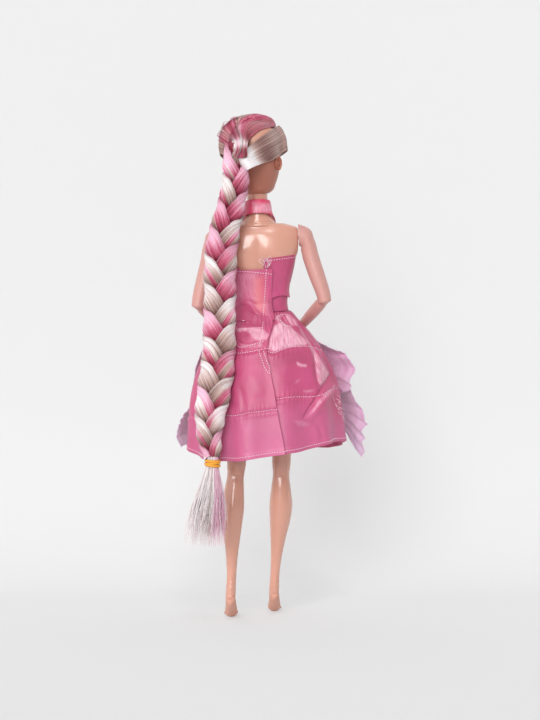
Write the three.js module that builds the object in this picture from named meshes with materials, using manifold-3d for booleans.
// Fashion doll with jointed arms, a long side braid and a satin dress, standing on tiptoe.
// Millimetres, +Z up. The doll faces -Y, its own left is +X, and the floor is z = 0.
import * as THREE from 'three';
import { mergeVertices } from 'three/addons/utils/BufferGeometryUtils.js';
import Module from 'manifold-3d';

const wasm = await Module();
wasm.setup();

// Driving sizes of the body
const hipSpacing = 25.5;
const torsoHeight = 86;
const shoulderWidth = 45.6;
const shoulderFaceRadius = 6.2;
const chestDepth = 15;
const seatDepth = 15;
const pelvisShift = -1.2;
const torsoLeanDegrees = 2.3;
const legLeanDegrees = 2.9;
const strideDegrees = 4;
const headTurnDegrees = 15;

const neckRadius = 6.1;
const neckLength = 17;
const headHeight = 42.6;
const headWidth = 28.4;
const faceDepth = 16;
const skullDepth = 16.5;


const legLength = 150;
const hipHeight = legLength;
const hipBallRadius = 9;
const thighRadius = 10.2;
const calfBow = 1.4;
const footLength = 29;
const footWidth = 7.4;
const soleDepth = 0.65;
const ankleShare = 0.88;

// Walls, pins and running gaps
const torsoWall = 1.8;
const headWall = 2;
const gap = 0.3;
const runningGap = 0.35;
const splitGap = 0.15;
const hipPegRadius = 2;
const hipSlotGap = 0.6;
const shoulderPegRadius = 2.4;
const shoulderPegHead = 4.2;
const shoulderPegReach = 4.5;
const elbowPinRadius = 0.7;
const overrun = 3;
const armStandOff = gap;
const neckSocketShare = 0.72;
const hipPinShare = 0.5;

// Hair
const hairThickness = 3.2;
const braidWidth = 18.6;
const braidDepth = 11.6;
const sleeveRoom = 1.5;
const lobeSpacing = 15.6;
const strandWidth = 3.05;
const strandDepth = 2;
const tasselLength = 50;
const tasselRadius = 10.6;
const elasticHeight = 4.6;
const elasticWall = 0.9;

// Dress
const clothGap = 0.45;
const clothThickness = 0.8;
const skirtThickness = 1;
const organzaThickness = 0.7;
const waistbandHeight = 7.3;
const waistRoom = 1.2;
const skirtLength = 80.5;
const hemSlope = 5.5;
const hemHalfWidth = 43.6;
const hemBackDepth = 37;
const hemFrontDepth = 35;
const hemShift = -1.8;
const foldDepth = 1.5;
const foldCount = 11;
const panelOverlap = 1.6;
const petalStandOff = 2;
const petalRootGap = 0.6;
const ribbonGap = 0.8;
const ribbonThickness = 0.8;
const strapBow = 3.2;
const stripWidth = 2.3;
const stripThickness = 0.5;
const stripInset = 5.5;
const flapLift = 4.2;

// Sizes that follow the torso's height
const levelShares = { shoulder: 0.872, waist: 0.3605, bodice: 0.7442, flap: 0.6512, flapLow: 0.3081 };
const armShares = {
  upper: 0.471,
  upperHalf: 0.0552,
  setBack: 0.0581,
  elbow: 0.0372,
  lower: 0.7674,
  lowerHalf: 0.0395,
};
const shoulderHeight = levelShares.shoulder * torsoHeight;
const upperArmLength = armShares.upper * torsoHeight;
const upperArmRadius = armShares.upperHalf * torsoHeight;
const elbowSetBack = armShares.setBack * torsoHeight;
const elbowRadius = armShares.elbow * torsoHeight;
const forearmLength = armShares.lower * torsoHeight;
const forearmRadius = armShares.lowerHalf * torsoHeight;
const waistHeight = hipHeight + levelShares.waist * torsoHeight;
const bodiceTop = hipHeight + levelShares.bodice * torsoHeight;
const flapTop = hipHeight + levelShares.flap * torsoHeight;
const flapBottom = hipHeight + levelShares.flapLow * torsoHeight;
const hemHeight = waistHeight - skirtLength;

const bodySides = 18;
const socketSides = 16;
const limbSides = 12;
const pinSides = 10;
const strandSides = 8;
const ballStackShare = 0.7;

const skin = { color: 0xd9a488, roughness: 0.35 };
const armSkin = { color: 0xcf9f92, roughness: 0.5 };
const headSkin = { color: 0xcf9377, roughness: 0.55 };
const pinkHair = { color: 0xd9799b, roughness: 0.4 };
const platinumHair = { color: 0xcbb8a8, roughness: 0.35 };
const satin = { color: 0xd7588f, roughness: 0.4 };
const organza = { color: 0xcf8fc4, roughness: 0.6 };

const rad = THREE.MathUtils.degToRad;
const mix = THREE.MathUtils.lerp;
const V = (x, y, z) => new THREE.Vector3(x, y, z);

// A value read from rows of [position, value, value, ...] at any position between them
function readRows(rows, position) {
  const last = rows.length - 1;
  if (position <= rows[0][0]) return rows[0];
  if (position >= rows[last][0]) return rows[last];
  const above = rows.findIndex((row) => row[0] > position);
  const [low, high] = [rows[above - 1], rows[above]];
  const t = (position - low[0]) / (high[0] - low[0]);
  return low.map((value, i) => mix(value, high[i], t));
}

// A geometry from points and triangles, turned so that its faces point out
function closedGeometry(points, faces) {
  let volume = 0;
  for (const [a, b, c] of faces) {
    volume += points[a].dot(points[b].clone().cross(points[c]));
  }
  const indices = faces.flatMap(([a, b, c]) => (volume > 0 ? [a, b, c] : [a, c, b]));
  const geometry = new THREE.BufferGeometry();
  const numbers = points.flatMap((p) => p.toArray());
  geometry.setAttribute('position', new THREE.Float32BufferAttribute(numbers, 3));
  geometry.setIndex(indices);
  return geometry;
}

// A skin over a stack of rings with the same number of points, closed at both ends
function loft(rings) {
  const points = rings.flat().map((p) => p.clone());
  const count = rings[0].length;
  const faces = [];
  for (let i = 0; i < rings.length - 1; i += 1) {
    for (let j = 0; j < count; j += 1) {
      const k = (j + 1) % count;
      const [a, b] = [i * count + j, i * count + k];
      const [c, d] = [(i + 1) * count + j, (i + 1) * count + k];
      faces.push([a, b, d], [a, d, c]);
    }
  }
  for (const [first, flip] of [[0, true], [(rings.length - 1) * count, false]]) {
    const centre = V(0, 0, 0);
    for (let j = 0; j < count; j += 1) centre.add(points[first + j]);
    points.push(centre.divideScalar(count));
    for (let j = 0; j < count; j += 1) {
      const k = first + (j + 1) % count;
      faces.push(flip ? [points.length - 1, k, first + j] : [points.length - 1, first + j, k]);
    }
  }
  return closedGeometry(points, faces);
}

// A sheet with a thickness: pointAt(u, v, side) gives the inner face at side 0 and the outer at side 1
function sheet(columns, rows, pointAt) {
  const points = [];
  const faces = [];
  const at = (i, j, side) => (side * (rows + 1) + j) * (columns + 1) + i;
  for (const side of [0, 1]) {
    for (let j = 0; j <= rows; j += 1) {
      for (let i = 0; i <= columns; i += 1) {
        points.push(pointAt(i / columns, j / rows, side));
      }
    }
  }
  const quad = (a, b, c, d) => faces.push([a, b, c], [a, c, d]);
  for (let j = 0; j < rows; j += 1) {
    for (let i = 0; i < columns; i += 1) {
      quad(at(i, j, 1), at(i + 1, j, 1), at(i + 1, j + 1, 1), at(i, j + 1, 1));
      quad(at(i, j, 0), at(i, j + 1, 0), at(i + 1, j + 1, 0), at(i + 1, j, 0));
    }
    quad(at(0, j, 0), at(0, j, 1), at(0, j + 1, 1), at(0, j + 1, 0));
    quad(at(columns, j, 1), at(columns, j, 0), at(columns, j + 1, 0), at(columns, j + 1, 1));
  }
  for (let i = 0; i < columns; i += 1) {
    quad(at(i, 0, 0), at(i + 1, 0, 0), at(i + 1, 0, 1), at(i, 0, 1));
    quad(at(i, rows, 1), at(i + 1, rows, 1), at(i + 1, rows, 0), at(i, rows, 0));
  }
  return closedGeometry(points, faces);
}

// Ring of a section with its own half width, front depth and back depth
function bodyRing(x, y, z, halfWidth, front, back, sides) {
  const ring = [];
  for (let j = 0; j < sides; j += 1) {
    const angle = 2 * Math.PI * j / sides;
    const depth = Math.sin(angle) > 0 ? back : front;
    ring.push(V(x + halfWidth * Math.cos(angle), y + depth * Math.sin(angle), z));
  }
  return ring;
}

// Ring about a centre, spanned by two directions with a radius each
function limbRing(centre, across, acrossRadius, deep, deepRadius, sides = limbSides) {
  const ring = [];
  for (let j = 0; j < sides; j += 1) {
    const angle = 2 * Math.PI * j / sides;
    const point = centre.clone().addScaledVector(across, acrossRadius * Math.cos(angle));
    ring.push(point.addScaledVector(deep, deepRadius * Math.sin(angle)));
  }
  return ring;
}

function toSolid(geometry) {
  const bare = geometry.clone();
  for (const name of Object.keys(bare.attributes)) {
    if (name !== 'position') bare.deleteAttribute(name);
  }
  const merged = mergeVertices(bare);
  return new wasm.Manifold(new wasm.Mesh({
    numProp: 3,
    vertProperties: new Float32Array(merged.attributes.position.array),
    triVerts: new Uint32Array(merged.index.array),
  }));
}

function toGeometry(solid) {
  const mesh = solid.getMesh();
  const geometry = new THREE.BufferGeometry();
  geometry.setAttribute('position', new THREE.BufferAttribute(mesh.vertProperties, 3));
  geometry.setIndex(new THREE.BufferAttribute(mesh.triVerts, 1));
  return geometry;
}

// One geometry with others joined to it and others cut from it
function carve(base, added, removed) {
  let solid = toSolid(base);
  for (const extra of added) solid = solid.add(toSolid(extra));
  for (const cut of removed) solid = solid.subtract(toSolid(cut));
  return toGeometry(solid);
}

function within(base, keepers) {
  let solid = toSolid(base);
  for (const keeper of keepers) solid = solid.intersect(toSolid(keeper));
  return toGeometry(solid);
}

// A cylinder from one point along a direction
function rod(from, direction, length, radius, sides = limbSides) {
  const geometry = new THREE.CylinderGeometry(radius, radius, length, sides);
  const unit = direction.clone().normalize();
  geometry.applyQuaternion(new THREE.Quaternion().setFromUnitVectors(V(0, 1, 0), unit));
  const middle = from.clone().addScaledVector(unit, length / 2);
  return geometry.translate(middle.x, middle.y, middle.z);
}

function ball(centre, radius, sides = limbSides) {
  const geometry = new THREE.SphereGeometry(radius, sides, Math.round(sides * ballStackShare));
  return geometry.translate(centre.x, centre.y, centre.z);
}

function block(low, high) {
  const size = high.clone().sub(low);
  const geometry = new THREE.BoxGeometry(size.x, size.y, size.z);
  const middle = low.clone().add(high).divideScalar(2);
  return geometry.translate(middle.x, middle.y, middle.z);
}

// A prism from an outline in the X-Z plane, running front to back
function prism(outline, halfDepth, turn) {
  const shape = new THREE.Shape(outline.map(([x, z]) => new THREE.Vector2(x, z)));
  const geometry = new THREE.ExtrudeGeometry(shape, { depth: 2 * halfDepth, bevelEnabled: false });
  geometry.rotateX(Math.PI / 2);
  geometry.translate(0, halfDepth, 0);
  return geometry.rotateZ(turn);
}

function part(name, geometry, look) {
  const mesh = new THREE.Mesh(geometry, new THREE.MeshStandardMaterial(look));
  mesh.name = name;
  return mesh;
}

// Torso: [height, half width, front, back] as shares of the sizes that they follow
const torsoShares = [
  [-0.15, 0.055, 0.2, 0.24],
  [-0.075, 0.14, 0.34, 0.4],
  [0, 0.46, 0.42, 0.5],
  [0.08, 0.8, 0.5, 0.6],
  [0.14, 0.93, 0.7, 0.84],
  [0.19, 0.9, 0.8, 0.92],
  [0.29, 0.72, 0.69, 0.72],
  [0.395, 0.605, 0.62, 0.59],
  [0.49, 0.64, 0.67, 0.6],
  [0.58, 0.73, 0.84, 0.66],
  [0.665, 0.82, 1, 0.7],
  [0.74, 0.885, 0.96, 0.72],
  [0.81, 0.95, 0.76, 0.7],
  [0.88, 0.96, 0.56, 0.62],
  [0.93, 0.88, 0.44, 0.5],
  [0.955, 0.62, 0.4, 0.46],
];
const torsoRows = torsoShares.map(([height, width, front, back]) => [
  height * torsoHeight,
  width * shoulderWidth / 2,
  front * chestDepth,
  back * seatDepth,
]);
// The neck above the torso, as shares of its radius and length
const neckSlopeShares = [
  [0, 1.74, 1.06, 1.24],
  [0.14, 1.36, 1.02, 1.12],
  [0.3, 1.1, 0.98, 1.02],
  [0.5, 1, 0.96, 1],
  [0.98, 0.98, 0.96, 0.98],
];
const torsoTop = torsoRows[torsoRows.length - 1][0];
const neckRows = neckSlopeShares.map(([height, width, front, back]) => [
  torsoTop + gap + height * neckLength,
  width * neckRadius,
  front * neckRadius,
  back * neckRadius,
]);
const bodyRows = [...torsoRows, ...neckRows];

// A point on the torso or neck, pushed out by an offset, in the torso's own frame
function bodyPoint(height, angle, offset) {
  const [, width, front, back] = readRows(bodyRows, height);
  const depth = Math.sin(angle) > 0 ? back : front;
  return V((width + offset) * Math.cos(angle), (depth + offset) * Math.sin(angle), height);
}

// The same point pushed out square to the surface
function bodySkin(height, angle, offset) {
  const step = torsoWall / 2;
  const turn = Math.PI / (3 * bodySides);
  const up = bodyPoint(height + step, angle, 0).sub(bodyPoint(height - step, angle, 0));
  const round = bodyPoint(height, angle + turn, 0).sub(bodyPoint(height, angle - turn, 0));
  return bodyPoint(height, angle, 0).addScaledVector(round.cross(up).normalize(), offset);
}

function torsoLoft(rows, inset, sides) {
  return loft(rows.map(([height, width, front, back]) => (
    bodyRing(0, 0, height, width - inset, front - inset, back - inset, sides))));
}

// The hip balls stay level while the torso leans
function hipInTorso(side) {
  const turn = rad(torsoLeanDegrees);
  const half = side * hipSpacing / 2;
  return V(half * Math.cos(turn), 0, half * Math.sin(turn));
}

function torsoShells() {
  const face = shoulderWidth / 2;
  const bosses = [1, -1].map((side) => (
    rod(V(0, 0, shoulderHeight), V(side, 0, 0), face, shoulderFaceRadius, bodySides)));
  const hollowShares = [0.18, 0.9];
  const hollowRows = torsoRows.filter(([height]) => (
    height > hollowShares[0] * torsoHeight && height < hollowShares[1] * torsoHeight));
  const cuts = [torsoLoft(hollowRows, torsoWall, limbSides)];
  cuts.push(rod(V(0, 0, shoulderHeight), V(0, 0, 1), torsoHeight, neckRadius * neckSocketShare));
  cuts.push(rod(hipInTorso(-1), hipInTorso(1), hipSpacing, hipPegRadius + runningGap));
  for (const side of [1, -1]) {
    const hip = hipInTorso(side);
    cuts.push(ball(hip, hipBallRadius + runningGap, socketSides));
    const wall = V(0, 0, shoulderHeight);
    const outward = V(side, 0, 0);
    const room = face - torsoWall;
    cuts.push(rod(wall, outward, room, shoulderPegHead + runningGap));
    cuts.push(rod(wall, outward, face + overrun, shoulderPegRadius + runningGap));
  }
  const whole = carve(torsoLoft(torsoRows, 0, bodySides), bosses, cuts);
  const reach = torsoHeight * 2;
  const front = within(whole, [block(V(-reach, -reach, -reach), V(reach, -splitGap, reach))]);
  const back = within(whole, [block(V(-reach, splitGap, -reach), V(reach, reach, reach))]);
  return [part('torso_front', front, skin), part('torso_back', back, skin)];
}

const headBase = torsoTop + gap + neckLength;
// Knob above the neck: [height share of the head, radius share of the neck]
const knobShares = [
  [-0.02, 0.62],
  [0.1, 0.62],
  [0.12, 0.95],
  [0.2, 0.8],
  [0.24, 0.3],
];

function neckPost() {
  const plug = rod(V(0, 0, shoulderHeight + shoulderFaceRadius), V(0, 0, 1),
    torsoTop - shoulderHeight - shoulderFaceRadius + neckLength / 2,
    neckRadius * neckSocketShare - runningGap);
  const slope = loft(neckRows.map(([height, width, front, back]) => (
    bodyRing(0, 0, height, width, front, back, bodySides))));
  const knob = loft(knobShares.map(([height, radius]) => {
    const r = radius * neckRadius;
    return bodyRing(0, 0, headBase + height * headHeight, r, r, r, bodySides);
  }));
  return part('neck_post', carve(slope, [plug, knob], []), skin);
}

// Where the torso stands, and where the head sits turned on its neck
function torsoFrame() {
  const place = new THREE.Matrix4().makeTranslation(pelvisShift, 0, hipHeight);
  return place.multiply(new THREE.Matrix4().makeRotationY(rad(torsoLeanDegrees)));
}

function headFrame() {
  const seat = new THREE.Matrix4().makeTranslation(0, 0, headBase + gap);
  return torsoFrame().multiply(seat).multiply(new THREE.Matrix4().makeRotationZ(-rad(headTurnDegrees)));
}

// Head: [height, half width, face depth, skull depth] as shares
const headShares = [
  [0, 0.47, 0.55, 0.42],
  [0.035, 0.6, 0.84, 0.5],
  [0.12, 0.74, 0.97, 0.6],
  [0.24, 0.88, 0.97, 0.74],
  [0.37, 0.97, 0.94, 0.89],
  [0.5, 1, 0.92, 0.97],
  [0.64, 0.995, 0.92, 1],
  [0.77, 0.92, 0.84, 0.95],
  [0.88, 0.75, 0.66, 0.78],
  [0.955, 0.5, 0.42, 0.52],
  [1, 0.14, 0.12, 0.14],
];

// The head's surface pushed out by an offset, in the head's own frame
function headLoft(offset, sides = bodySides) {
  const grow = 1 + 2 * offset / headHeight;
  return loft(headShares.map(([height, width, front, back]) => bodyRing(0, 0,
    headHeight / 2 + (height - 1 / 2) * headHeight * grow,
    width * headWidth / 2 + offset,
    front * faceDepth + offset,
    back * skullDepth + offset,
    sides)));
}

const earShares = { height: 0.4, back: 0.08, long: 0.095, wide: 0.08, thick: 0.045 };
const noseShares = { height: 0.3, long: 0.1, wide: 0.055, deep: 0.09 };

function oval(x, y, z, halfWidth, halfDepth, halfHeight) {
  const knob = new THREE.SphereGeometry(1, pinSides, pinSides - 2);
  return knob.scale(halfWidth, halfDepth, halfHeight).translate(x, y, z);
}

function ear(side, offset) {
  const { height, back, long, wide, thick } = earShares;
  return oval(side * headWidth / 2, headHeight * back, headHeight * height,
    headHeight * thick + offset, headHeight * wide + offset, headHeight * long + offset);
}

function head() {
  const nose = oval(0, -faceDepth * headShares[3][2], headHeight * noseShares.height,
    headHeight * noseShares.wide, headHeight * noseShares.deep, headHeight * noseShares.long);
  const extras = [ear(1, 0), ear(-1, 0), nose];
  const holeRadius = neckRadius * knobShares[0][1] + runningGap;
  const hole = rod(V(0, 0, -overrun), V(0, 0, 1), headHeight / 2, holeRadius, bodySides);
  return part('head', carve(headLoft(0), extras, [headLoft(-headWall, limbSides), hole]), headSkin);
}

// Hair on the head: outlines seen from behind, as shares of the head's half width and height
const crownOutlineShares = [
  [-1.5, 1.04],
  [0.14, 0.9],
  [0.6, 0.79],
  [0.66, 0.66],
  [1.8, 0.5],
  [1.8, 1.6],
  [-1.5, 1.6],
];
const sweepOutlineShares = [
  [-1.5, 0.6],
  [-0.8, 0.5],
  [0.1, 0.4],
  [0.6, 0.34],
  [0.6, 0.6],
  [0.1, 0.8],
  [-0.35, 0.92],
  [-1.5, 1.02],
];
const lockOutlineShares = [[0.62, 0.34], [1.8, 0.3], [1.8, 0.48], [0.68, 0.64], [0.62, 0.64]];
const hairlineShares = [[-1.6, 2], [-0.8, 0.86], [-0.3, 0.5], [0.1, 0.2], [3, 0.2], [3, 2]];

function hairOnHead() {
  const sleeve = braidSleeve().applyMatrix4(headFrame().invert());
  const shell = carve(headLoft(hairThickness), [], [headLoft(gap), ear(1, gap), ear(-1, gap), sleeve]);
  const hairline = hairlineShares.map(([back, height]) => [back * skullDepth, height * headHeight]);
  const behindFace = prism(hairline, headWidth, Math.PI / 2);
  const lock = (name, outline, look) => {
    const shape = outline.map(([x, height]) => [x * headWidth / 2, height * headHeight]);
    const keeper = prism(shape, headWidth, rad(headTurnDegrees));
    return part(name, within(shell, [behindFace, keeper]), look);
  };
  return [
    lock('hair_crown_pink', crownOutlineShares, pinkHair),
    lock('hair_sweep_platinum', sweepOutlineShares, platinumHair),
    lock('hair_side_platinum', lockOutlineShares, platinumHair),
  ];
}

// Arms. Rows down the upper arm: [out, down, tilt of the section in degrees, width share, depth share]
const upperArmShares = [
  [0, 0, 90, 1.295, 1.2],
  [0.069, 0.032, 71.6, 1.26, 1.18],
  [0.123, 0.142, 40.7, 1.085, 1.1],
  [0.164, 0.323, 19.4, 1.01, 1.03],
  [0.242, 0.6, 14.9, 0.98, 1.01],
  [0.325, 0.885, 10, 0.86, 0.91],
  [0.342, 0.985, 9.4, 0.81, 0.87],
];
const elbowShares = [0.331, 0.943];
// The slot that the forearm folds through, as turns from a straight arm
const elbowSlotDegrees = [0, 25, 50, 75, 102];
const forearmHeading = V(-0.44, -0.74, -0.51).normalize();
// Rows down the forearm and hand: [along, height share, thickness share] of the forearm radius
const forearmShares = [
  [0.02, 0.78, 0.78],
  [0.035, 0.83, 0.83],
  [0.07, 0.98, 0.97],
  [0.14, 1.02, 1],
  [0.3, 0.95, 0.93],
  [0.48, 0.76, 0.72],
  [0.6, 0.66, 0.54],
  [0.68, 0.82, 0.5],
  [0.77, 1.12, 0.5],
  [0.85, 1.1, 0.44],
  [0.94, 0.9, 0.34],
  [1, 0.5, 0.22],
];
const thumbShares = [
  [0.68, 0.6, 0.34],
  [0.75, 1.25, 0.34],
  [0.81, 1.5, 0.28],
  [0.86, 1.6, 0.14],
];

function elbowPoint(side) {
  const [out, down] = elbowShares;
  return V(side * out * upperArmLength, elbowSetBack, -down * upperArmLength);
}

function forearmDirection(side) {
  return V(side * forearmHeading.x, forearmHeading.y, forearmHeading.z);
}

function elbowAxis(side) {
  return elbowPoint(side).normalize().cross(forearmDirection(side)).normalize();
}

function upperArm(side) {
  const rings = upperArmShares.map(([out, down, tilt, width, depth]) => {
    const setBack = elbowSetBack * down / elbowShares[1];
    const centre = V(side * out * upperArmLength, setBack, -down * upperArmLength);
    const across = V(side * Math.cos(rad(tilt)), 0, Math.sin(rad(tilt)));
    return limbRing(centre, across, width * upperArmRadius, V(0, 1, 0), depth * upperArmRadius);
  });
  const elbow = elbowPoint(side);
  const axis = elbowAxis(side);
  const cuts = [ball(elbow, elbowRadius + runningGap)];
  for (const flex of elbowSlotDegrees) {
    const direction = elbow.clone().normalize().applyAxisAngle(axis, rad(flex));
    cuts.push(rod(elbow, direction, upperArmRadius + overrun, forearmRadius + runningGap, pinSides));
  }
  const pinHalf = upperArmRadius + overrun;
  cuts.push(rod(elbow.clone().addScaledVector(axis, -pinHalf), axis, 2 * pinHalf, elbowPinRadius + gap));
  const pegHole = shoulderPegReach + gap - armStandOff;
  cuts.push(rod(V(-side * overrun, 0, 0), V(side, 0, 0), pegHole + overrun, shoulderPegRadius + gap));
  return part(`upper_arm_${sideName(side)}`, carve(loft(rings), [], cuts), armSkin);
}

const sideName = (side) => (side > 0 ? 'left' : 'right');

function elbowPin(side) {
  const axis = elbowAxis(side);
  const half = upperArmRadius * upperArmShares[5][3] - gap;
  const start = elbowPoint(side).addScaledVector(axis, -half);
  return part(`elbow_pin_${sideName(side)}`, rod(start, axis, 2 * half, elbowPinRadius), armSkin);
}

function forearm(side) {
  const elbow = elbowPoint(side);
  const along = forearmDirection(side);
  const up = V(0, 0, 1).projectOnPlane(along).normalize();
  const flat = along.clone().cross(up);
  const shaft = loft(forearmShares.map(([t, height, thickness]) => limbRing(
    elbow.clone().addScaledVector(along, t * forearmLength),
    up, height * forearmRadius, flat, thickness * forearmRadius)));
  const thumb = loft(thumbShares.map(([t, rise, radius]) => limbRing(
    elbow.clone().addScaledVector(along, t * forearmLength).addScaledVector(up, rise * forearmRadius),
    up, radius * forearmRadius, flat, radius * forearmRadius, limbSides / 2)));
  const bore = rod(elbow.clone().addScaledVector(elbowAxis(side), -elbowRadius - overrun),
    elbowAxis(side), 2 * (elbowRadius + overrun), elbowPinRadius + gap);
  const joined = carve(ball(elbow, elbowRadius), [shaft, thumb], [bore]);
  return part(`forearm_${sideName(side)}`, joined, armSkin);
}

// Disc inside the torso wall and a shank into the arm
function shoulderPeg(side) {
  const face = shoulderWidth / 2;
  const start = face - torsoWall - shoulderPegHead / 2;
  const centre = V(side * start, 0, shoulderHeight);
  const disc = rod(centre, V(side, 0, 0), shoulderPegHead / 2 - gap, shoulderPegHead);
  const length = face + shoulderPegReach - start;
  const shank = rod(centre, V(side, 0, 0), length, shoulderPegRadius);
  return part(`shoulder_peg_${sideName(side)}`, carve(disc, [shank], []), armSkin);
}

// Legs: [down share, half width, front, back, bow] as shares of the thigh radius and calf bow
const legShares = [
  [0.034, 0.74, 0.74, 0.74, 0],
  [0.055, 0.88, 0.9, 0.88, 0],
  [0.085, 0.97, 1.02, 1, 0],
  [0.13, 0.98, 1.05, 1.02, 0],
  [0.2, 0.88, 0.98, 0.94, 0],
  [0.28, 0.7, 0.82, 0.76, 0.1],
  [0.35, 0.56, 0.69, 0.6, 0.2],
  [0.395, 0.54, 0.66, 0.53, 0.3],
  [0.43, 0.485, 0.6, 0.48, 0.4],
  [0.49, 0.57, 0.54, 0.62, 0.7],
  [0.555, 0.67, 0.51, 0.77, 1],
  [0.62, 0.6, 0.47, 0.7, 0.95],
  [0.68, 0.47, 0.43, 0.54, 0.6],
  [0.755, 0.335, 0.39, 0.37, 0.25],
  [0.835, 0.275, 0.36, 0.3, 0],
  [0.885, 0.29, 0.4, 0.34, 0],
  [0.93, 0.27, 0.36, 0.32, 0],
];
// Foot: [forward, height, half width, half thickness, tilt in degrees] as shares of its length and width
const footShares = [
  [-0.19, 0.5, 0.28, 0.07, 62],
  [-0.12, 0.47, 0.36, 0.13, 56],
  [0.02, 0.4, 0.41, 0.16, 50],
  [0.2, 0.31, 0.42, 0.15, 44],
  [0.38, 0.19, 0.48, 0.125, 34],
  [0.54, 0.1, 0.51, 0.1, 18],
  [0.68, 0.06, 0.47, 0.075, 8],
  [0.78, 0.045, 0.33, 0.05, 0],
];

// Turns of the slot that lets the leg tilt about its cross pin
const hipSlotDegrees = [-6, 4, 14, 24];

function leg(side, swing) {
  const rings = legShares.map(([down, width, front, back, bow]) => bodyRing(
    side * bow * calfBow, 0, -down * legLength,
    width * thighRadius, front * thighRadius, back * thighRadius, limbSides));
  const foot = loft(footShares.map(([forward, height, width, thick, tilt]) => {
    const centre = V(0, -forward * footLength, -legLength + height * footLength);
    const rise = V(0, -Math.sin(rad(tilt)), Math.cos(rad(tilt)));
    return limbRing(centre, V(1, 0, 0), width * footWidth, rise, thick * footLength);
  }));
  // The feet stay upright, whatever the lean and the step of the legs, and the floor cuts them flat
  const ankle = -ankleShare * legLength;
  foot.translate(0, 0, -ankle - soleDepth);
  foot.applyMatrix4(hipFrame(side, swing).invert());
  foot.translate(0, 0, ankle);
  const slotHalf = hipPegRadius + hipSlotGap;
  const pinHalf = hipBallRadius * hipPinShare + gap;
  const cuts = [rod(V(0, -pinHalf, 0), V(0, 1, 0), 2 * pinHalf, slotHalf, pinSides)];
  for (const tilt of hipSlotDegrees) {
    const inward = V(-side * Math.cos(rad(tilt)), 0, Math.sin(rad(tilt)));
    cuts.push(rod(V(0, 0, 0), inward, hipBallRadius + overrun, slotHalf, pinSides));
  }
  const frame = hipFrame(side, swing).invert();
  const deep = legLength / 2;
  const low = V(-legLength, -legLength, -hipHeight - deep);
  const floor = block(low, V(legLength, legLength, -hipHeight));
  cuts.push(floor.applyMatrix4(frame));
  const solid = carve(ball(V(0, 0, 0), hipBallRadius), [loft(rings), foot], cuts);
  return part(`leg_${sideName(side)}`, solid, skin);
}

// Turn of a leg about its hip: the lean to one side and the step forward or back
function hipFrame(side, swing) {
  const lean = new THREE.Matrix4().makeRotationY(-rad(legLeanDegrees));
  return lean.multiply(new THREE.Matrix4().makeRotationX(rad(swing)));
}

// A bar from the crotch to the ball's centre, with a cross pin there
function hipPeg(side) {
  const inner = -side * (hipSpacing / 2 - splitGap);
  const bar = rod(V(inner, 0, 0), V(side, 0, 0), hipSpacing / 2 - splitGap, hipPegRadius);
  const half = hipBallRadius * hipPinShare;
  const pin = rod(V(0, -half, 0), V(0, 1, 0), 2 * half, hipPegRadius);
  return part(`hip_peg_${sideName(side)}`, carve(bar, [pin], []), armSkin);
}

// Braid: its centre line down the back, as shares of the body's sizes above the waist
const upperRouteShares = [
  [0.66, 1.3, 1],
  [0.68, 1.32, 0.87],
  [0.7, 1.3, 0.726],
  [0.78, 1.28, 0.613],
  [0.921, 1.267, 0.5],
  [1.009, 1.3, 0.378],
  [1.053, 1.3, 0.245],
  [1.066, 1.333, 0.112],
  [1.096, 1.4, 0],
];
// The same line below the waist, as shares of the skirt's sizes
const lowerRouteShares = [
  [0.596, 0.608, 0.839],
  [0.619, 0.716, 0.689],
  [0.649, 0.838, 0.54],
  [0.688, 0.946, 0.391],
  [0.716, 1, 0.242],
  [0.711, 1.04, 0.106],
  [0.677, 1.068, -0.012],
];
const braidRootShare = 0.69;
const braidTop = hipHeight + headBase + braidRootShare * headHeight;
const braidRoute = [
  ...upperRouteShares.map(([across, back, height]) => V(
    across * shoulderWidth / 2, back * seatDepth, mix(waistHeight, braidTop, height))),
  ...lowerRouteShares.map(([across, back, height]) => V(
    across * hemHalfWidth, back * hemBackDepth, mix(hemHeight, waistHeight, height))),
];
const braidCurve = new THREE.CatmullRomCurve3(braidRoute);
const braidSteps = 42;
// How the strands thin out at the root and towards the elastic
const rootShares = { start: 0.6, rate: 9 };
const endShares = { start: 0.46, rate: 6.5 };
const sleeveReachShare = 0.24;
const tieDropShare = 0.6;

function strandTaper(t) {
  return Math.min(1, endShares.start + (1 - t) * endShares.rate, rootShares.start + t * rootShares.rate);
}

function braidFrame(t) {
  const centre = braidCurve.getPointAt(t);
  const along = braidCurve.getTangentAt(t);
  const across = V(1, 0, 0).projectOnPlane(along).normalize();
  const deep = along.clone().cross(across);
  return { centre, along, across, deep };
}

// The room that the braid takes at its root, behind the left ear
function braidSleeve() {
  const steps = 12;
  const rings = [];
  for (let i = 0; i <= steps; i += 1) {
    const { centre, along, across, deep } = braidFrame(sleeveReachShare * i / steps);
    if (i === 0) centre.addScaledVector(along, -sleeveRoom);
    rings.push(limbRing(centre, across, braidWidth / 2 + sleeveRoom, deep, braidDepth / 2 + sleeveRoom));
  }
  return loft(rings);
}

// Centre of one strand: a figure of eight across the braid, carried along it
function strandPoint(t, phase) {
  const { centre, across, deep } = braidFrame(t);
  const turn = 2 * Math.PI * (t * braidCurve.getLength() / (3 * lobeSpacing) + phase / 3);
  const taper = strandTaper(t);
  const swing = (braidWidth / 2 - strandWidth) * taper;
  const weave = (braidDepth / 2 - strandDepth) * Math.sqrt(taper);
  return centre.clone()
    .addScaledVector(across, swing * Math.sin(turn))
    .addScaledVector(deep, weave * Math.sin(2 * turn));
}

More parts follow.
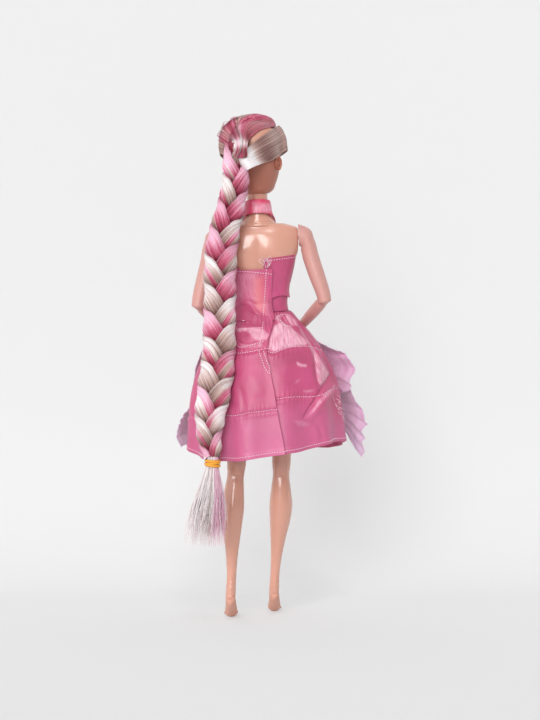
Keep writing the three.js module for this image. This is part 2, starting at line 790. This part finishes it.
function braidStrand(phase) {
  const rings = [];
  for (let i = 0; i <= braidSteps; i += 1) {
    const t = i / braidSteps;
    const step = 0.5 / braidSteps;
    const ahead = strandPoint(Math.min(1, t + step), phase);
    const along = ahead.sub(strandPoint(Math.max(0, t - step), phase)).normalize();
    const deep = braidFrame(t).deep.projectOnPlane(along).normalize();
    const across = deep.clone().cross(along);
    const taper = strandTaper(t);
    rings.push(limbRing(strandPoint(t, phase), across, strandWidth * taper,
      deep, strandDepth * taper, strandSides));
  }
  return loft(rings);
}

// Tassel: [down, half width, half depth, shift across] as shares of its length and radius
const tasselShares = [
  [0, 0.3, 0.3, 0],
  [0.12, 0.32, 0.3, 0],
  [0.2, 0.46, 0.38, 0.02],
  [0.38, 0.76, 0.58, 0.06],
  [0.6, 1, 0.74, 0.24],
  [0.78, 0.9, 0.62, 0.3],
  [0.92, 0.62, 0.42, 0.34],
  [1, 0.3, 0.2, 0.36],
];

function tassel(top) {
  return part('hair_tassel', loft(tasselShares.map(([down, width, depth, shift]) => limbRing(
    V(top.x + shift * tasselRadius, top.y, top.z - down * tasselLength),
    V(1, 0, 0), width * tasselRadius, V(0, 1, 0), depth * tasselRadius))), platinumHair);
}

function elastic(top) {
  const inner = tasselRadius * tasselShares[1][1] + gap;
  const outer = inner + elasticWall;
  const round = elasticWall / 3;
  const profile = [
    [inner, 0],
    [outer - round, 0],
    [outer, round],
    [outer, elasticHeight - round],
    [outer - round, elasticHeight],
    [inner, elasticHeight],
    [inner, 0],
  ].map(([x, y]) => new THREE.Vector2(x, y));
  const ring = new THREE.LatheGeometry(profile, bodySides);
  ring.rotateX(Math.PI / 2);
  ring.translate(top.x, top.y, top.z - elasticHeight - gap);
  return part('hair_elastic', ring, { color: 0xe8a020, roughness: 0.5 });
}

function braid() {
  const names = ['braid_strand_a', 'braid_strand_b', 'braid_strand_c'];
  const looks = [platinumHair, pinkHair, platinumHair];
  const strands = names.map((name, phase) => part(name, braidStrand(phase), looks[phase]));
  const end = braidRoute[braidRoute.length - 1];
  const top = V(end.x, end.y, end.z - strandDepth * tieDropShare);
  return [...strands, elastic(top), tassel(top)];
}

// Bodice: sheets that follow the torso, in the torso's own frame
const inTorso = (height) => height - hipHeight;

function wrap(name, span, steps, place, thickness, look) {
  const geometry = sheet(steps.columns, steps.rows, (u, v, side) => {
    const angle = rad(mix(span.fromDegrees, span.toDegrees, u));
    const { height, offset } = place(u, v);
    return bodyPoint(height, angle, offset + side * thickness);
  });
  return part(name, geometry, look);
}

const layerGap = clothGap + clothThickness + gap;
const flapStandOff = layerGap + 2 * (stripThickness + gap);
const bodiceBottom = waistHeight + waistbandHeight + gap;

// Turns of each sheet from the doll's left side, and its steps
const frontSpan = { fromDegrees: -176, toDegrees: -4 };
const rightSpan = { fromDegrees: 102, toDegrees: 176 };
const flapSpan = { fromDegrees: 4, toDegrees: 111 };
const bandSpan = { fromDegrees: -248, toDegrees: 98 };
const frontSteps = { columns: 18, rows: 5 };
const rightSteps = { columns: 9, rows: 5 };
const flapSteps = { columns: 12, rows: 6 };
const bandSteps = { columns: 28, rows: 1 };
const stripSteps = { columns: 2, rows: 4 };
const neckDipShare = 0.35;
const cuffShares = { bend: 8, stand: 2 };
const flapRiseShares = { top: 2, overlap: 1.4, lift: 0.5 };

function bodice() {
  const drop = bodiceTop - flapTop;
  const dip = (u) => drop * neckDipShare * Math.sin(Math.PI * u) ** 2;
  const between = (low, high, v) => inTorso(mix(low, high, v));
  const front = wrap('bodice_front', frontSpan, frontSteps, (u, v) => ({
    height: between(bodiceBottom, bodiceTop - dip(u), v),
    offset: clothGap,
  }), clothThickness, satin);
  // The lower edge of the right panel is folded outwards
  const right = wrap('bodice_back_right', rightSpan, rightSteps, (u, v) => ({
    height: between(bodiceBottom, bodiceTop - (1 - u) * drop / 4, v),
    offset: clothGap + (1 - v) ** cuffShares.bend * clothThickness * cuffShares.stand,
  }), clothThickness, satin);
  const flap = wrap('bodice_back_left', flapSpan, flapSteps, (u, v) => ({
    height: between(flapBottom, mix(bodiceTop, flapTop, Math.min(1, u * flapRiseShares.top)), v),
    offset: mix(clothGap, flapStandOff, Math.min(1, u * flapRiseShares.overlap))
      + flapLift * (1 - v) * (1 - u * flapRiseShares.lift),
  }), clothThickness, satin);
  const band = wrap('waistband', bandSpan, bandSteps, (u, v) => ({
    height: between(waistHeight, waistHeight + waistbandHeight, v),
    offset: clothGap,
  }), clothThickness, satin);
  return [front, right, flap, band];
}

function closureStrips() {
  const half = THREE.MathUtils.radToDeg(stripWidth / shoulderWidth);
  const middle = (rightSpan.fromDegrees + flapSpan.toDegrees) / 2;
  const span = { fromDegrees: middle - half, toDegrees: middle + half };
  const strip = (name, offset, color) => wrap(name, span, stripSteps, (u, v) => ({
    height: inTorso(mix(bodiceBottom + stripInset, flapTop - stripInset, v)),
    offset,
  }), stripThickness, { color, roughness: 0.9 });
  return [
    strip('closure_loop_strip', layerGap, 0xf0c8d8),
    strip('closure_hook_strip', layerGap + stripThickness + gap, 0xe8b0c8),
  ];
}

// Neck ribbon: a strip round the back of the neck that runs down in front as two straps.
// Rows: [turn from the back in degrees, lower edge, upper edge] as shares of neck length above the torso
const ribbonShares = [
  [0, 0.4, 0.82],
  [30, 0.38, 0.82],
  [60, 0.33, 0.8],
  [98, 0.2, 0.74],
];
const strapEnd = { outerDegrees: 142, innerDegrees: 166 };
const strapSteps = 5;

function neckRibbon() {
  const neckSteps = 5;
  const half = neckSteps + strapSteps;
  const lastTurn = ribbonShares[ribbonShares.length - 1][0];
  const onNeck = (way, turn, v, offset) => {
    const [, low, high] = readRows(ribbonShares, turn);
    const height = torsoTop + mix(low, high, v) * neckLength;
    return bodySkin(height, Math.PI / 2 + way * rad(turn), offset);
  };
  const geometry = sheet(2 * half, 3, (u, v, side) => {
    const step = Math.round(u * 2 * half) - half;
    const way = Math.sign(step);
    const offset = ribbonGap + side * ribbonThickness;
    const along = Math.abs(step) - neckSteps;
    if (along <= 0) return onNeck(way, lastTurn * Math.abs(step) / neckSteps, v, offset);
    const t = along / strapSteps;
    const turn = mix(strapEnd.outerDegrees, strapEnd.innerDegrees, v);
    const end = bodyPoint(inTorso(bodiceTop) + gap, Math.PI / 2 + way * rad(turn), offset);
    const point = onNeck(way, lastTurn, v, offset).lerp(end, t);
    return point.add(V(0, -strapBow * Math.sin(Math.PI * t), 0));
  });
  return part('neck_ribbon', geometry, { color: 0xe0407f, roughness: 0.35 });
}

// Skirt: [down, half width, back depth, front depth], each as a share of the way from waist to hem
const skirtShares = [
  [0, 0, 0, 0],
  [0.05, 0.1, 0.072, 0.066],
  [0.15, 0.325, 0.282, 0.284],
  [0.28, 0.565, 0.521, 0.518],
  [0.45, 0.79, 0.733, 0.752],
  [0.6, 0.902, 0.832, 0.84],
  [0.78, 0.963, 0.916, 0.927],
  [1, 1, 1, 1],
];
const [, waistWidth, waistFront, waistBack] = readRows(bodyRows, inTorso(waistHeight));
const skirtTop = waistHeight - gap;

const foldGrowth = 1.3;

function skirtPoint(degrees, down, offset) {
  const angle = rad(degrees);
  const [, widthShare, backShare, frontShare] = readRows(skirtShares, down);
  const width = mix(waistWidth + waistRoom, hemHalfWidth, widthShare);
  const back = mix(waistBack + waistRoom, hemBackDepth, backShare);
  const front = mix(waistFront + waistRoom, hemFrontDepth, frontShare);
  const hem = hemHeight - hemSlope * Math.cos(angle) - hemSlope / 4 * (Math.sin(angle) < 0 ? 1 : 0);
  const fold = foldDepth * down ** foldGrowth * Math.sin(foldCount * angle);
  const push = offset + fold;
  const depth = Math.sin(angle) > 0 ? back : front;
  const shift = pelvisShift + (skirtTop - hipHeight) * Math.tan(rad(torsoLeanDegrees)) * (1 - down);
  const out = (width + push) * Math.cos(angle);
  const top = skirtTop - out * Math.tan(rad(torsoLeanDegrees));
  return V(shift + hemShift * down + out, (depth + push) * Math.sin(angle), mix(top, hem, down));
}

// The free edge at the back: its turn in degrees at each share of the way down the skirt
const backEdgeShares = [
  [0, 108],
  [0.28, 96],
  [0.6, 100],
  [1, 106],
];
const skirtRowShares = [0, 0.05, 0.1, 0.18, 0.28, 0.4, 0.52, 0.66, 0.83, 1];
// Turns of the sewn edges, and of the ramps where an edge rises to lie over its neighbour
const sideSeam = {
  leftDegrees: 0.5,
  rightDegrees: 179.5,
  frontRightDegrees: 180.5,
  frontLeftDegrees: 359.5,
};
const placketUnderDegrees = 9;
const placketRamp = { fromDegrees: 55, toDegrees: 88 };
const wrapEdge = { underDegrees: 292, overDegrees: 258 };
const wrapRamp = { fromDegrees: 318, toDegrees: 294 };
const liftShares = { start: 0.75, rate: 8 };

// How far an edge stands off the body where it lies over its neighbour
function overlapRise(degrees, ramp) {
  const reached = (degrees - ramp.fromDegrees) / (ramp.toDegrees - ramp.fromDegrees);
  return panelOverlap * THREE.MathUtils.clamp(reached, 0, 1);
}

function skirtPanel(name, columns, edgeFrom, edgeTo, ramp) {
  const rows = skirtRowShares.length - 1;
  const geometry = sheet(columns, rows, (u, v, side) => {
    const down = skirtRowShares[Math.round(v * rows)];
    const degrees = mix(edgeFrom(down), edgeTo(down), u);
    const reach = Math.min(1, liftShares.start + down * liftShares.rate);
    const rise = ramp ? overlapRise(degrees, ramp) * reach : 0;
    return skirtPoint(degrees, down, rise + side * skirtThickness);
  });
  return part(name, geometry, satin);
}

function skirt() {
  const edge = (down) => readRows(backEdgeShares, down)[1];
  const at = (degrees) => () => degrees;
  const under = (down) => edge(down) - placketUnderDegrees;
  const { leftDegrees, rightDegrees, frontRightDegrees, frontLeftDegrees } = sideSeam;
  return [
    skirtPanel('skirt_back_left', 15, at(leftDegrees), edge, placketRamp),
    skirtPanel('skirt_back_right', 12, under, at(rightDegrees)),
    skirtPanel('skirt_front_right', 16, at(frontRightDegrees), at(wrapEdge.underDegrees)),
    skirtPanel('skirt_front_left', 15, at(wrapEdge.overDegrees), at(frontLeftDegrees), wrapRamp),
  ];
}

// Organza petals sewn on over the front of the skirt, flaring out past its sides. The root and the free
// edge are turns in degrees, and the edges and the corner's drop are shares of the skirt's length.
const petalShares = [
  { name: 'petal_right_upper', rootDegrees: 246, freeDegrees: 186, top: 0.1, bottom: 0.55, drop: 0.03 },
  { name: 'petal_right_lower', rootDegrees: 240, freeDegrees: 184, top: 0.6, bottom: 1, drop: 0.04 },
  { name: 'petal_left_upper', rootDegrees: 300, freeDegrees: 352, top: 0.1, bottom: 0.55, drop: 0 },
  { name: 'petal_left_lower', rootDegrees: 306, freeDegrees: 354, top: 0.6, bottom: 0.95, drop: 0.02 },
];
const petalFlares = [13.6, 13.2, 1.6, 5.6];
const petalSlopeShare = 0.1;
const petalSeamShare = 0.3;

function petal(shape, flare) {
  const { name, rootDegrees, freeDegrees, top, bottom, drop } = shape;
  const geometry = sheet(10, 6, (u, v, side) => {
    const rounded = Math.sqrt(Math.sin(Math.PI * v));
    const degrees = mix(rootDegrees, freeDegrees, u);
    const down = mix(top + petalSlopeShare * u, bottom + drop * u ** 3, v);
    const rise = degrees > wrapEdge.overDegrees ? overlapRise(degrees, wrapRamp) : 0;
    const seat = skirtThickness + petalRootGap + rise;
    const stand = seat + petalStandOff * Math.min(1, u / petalSeamShare) + flare * u ** 2 * rounded;
    return skirtPoint(degrees, down, stand + side * organzaThickness);
  });
  return part(name, geometry, organza);
}

// Assembly
const doll = new THREE.Group();
const upperBody = new THREE.Group();
upperBody.applyMatrix4(torsoFrame());
upperBody.add(...torsoShells(), neckPost(), ...bodice(), ...closureStrips(), neckRibbon());

const headGroup = new THREE.Group();
headGroup.applyMatrix4(headFrame());
headGroup.add(head(), ...hairOnHead());
doll.add(headGroup);

for (const side of [1, -1]) {
  upperBody.add(shoulderPeg(side));
  const arm = new THREE.Group();
  arm.position.set(side * (shoulderWidth / 2 + armStandOff), 0, shoulderHeight);
  arm.add(upperArm(side), elbowPin(side), forearm(side));
  upperBody.add(arm);
  const hip = new THREE.Group();
  const swing = side * strideDegrees;
  hip.position.set(pelvisShift + side * hipSpacing / 2, 0, hipHeight);
  hip.add(hipPeg(side));
  const limb = new THREE.Group();
  limb.applyMatrix4(hipFrame(side, swing));
  limb.add(leg(side, swing));
  hip.add(limb);
  doll.add(hip);
}
doll.add(upperBody, ...braid(), ...skirt());
petalShares.forEach((shape, i) => doll.add(petal(shape, petalFlares[i])));

// The origin is under the middle of the whole doll, on the floor
doll.updateMatrixWorld(true);
const bounds = new THREE.Box3().setFromObject(doll, true);
const middle = bounds.getCenter(V(0, 0, 0));
doll.position.set(-middle.x, -middle.y, -bounds.min.z);

export default doll;
